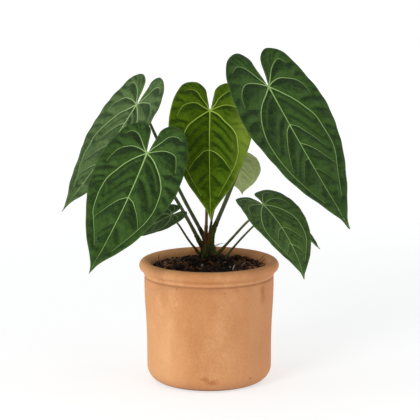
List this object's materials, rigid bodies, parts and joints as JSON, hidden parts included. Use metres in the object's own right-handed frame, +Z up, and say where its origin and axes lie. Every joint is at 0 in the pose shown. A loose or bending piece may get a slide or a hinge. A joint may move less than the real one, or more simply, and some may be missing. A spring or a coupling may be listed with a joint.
{
  "type": "potted anthurium",
  "caption": "Anthurium with heart-shaped leaves on long stalks, in a straight round terracotta pot of bark soil with drain holes.",
  "frame": {"origin": "middle of the pot's underside", "axes": "+Z up, +X towards the largest leaf's side, -Y towards the side that the leaves face"},
  "size_m": [0.3023, 0.232, 0.3586],
  "materials": {
    "pot": "matte",
    "soil": "matte",
    "crown": "matte",
    "stalk": "satin",
    "leaf": "satin",
    "young_leaf": "satin"
  },
  "bodies": {
    "root": {"pot": "pot", "soil": "soil", "crown": "crown", "stalk_left_back": "stalk", "blade_left_back": "leaf", "stalk_left_front": "stalk", "blade_left_front": "leaf", "stalk_centre": "stalk", "blade_centre": "young_leaf", "stalk_right": "stalk", "blade_right": "leaf", "stalk_right_low": "stalk", "blade_right_low": "leaf", "stalk_right_hidden": "stalk", "blade_right_hidden": "leaf", "stalk_left_low": "stalk", "blade_left_low": "leaf", "stalk_back": "stalk", "blade_back": "leaf"}
  },
  "joints": []
}
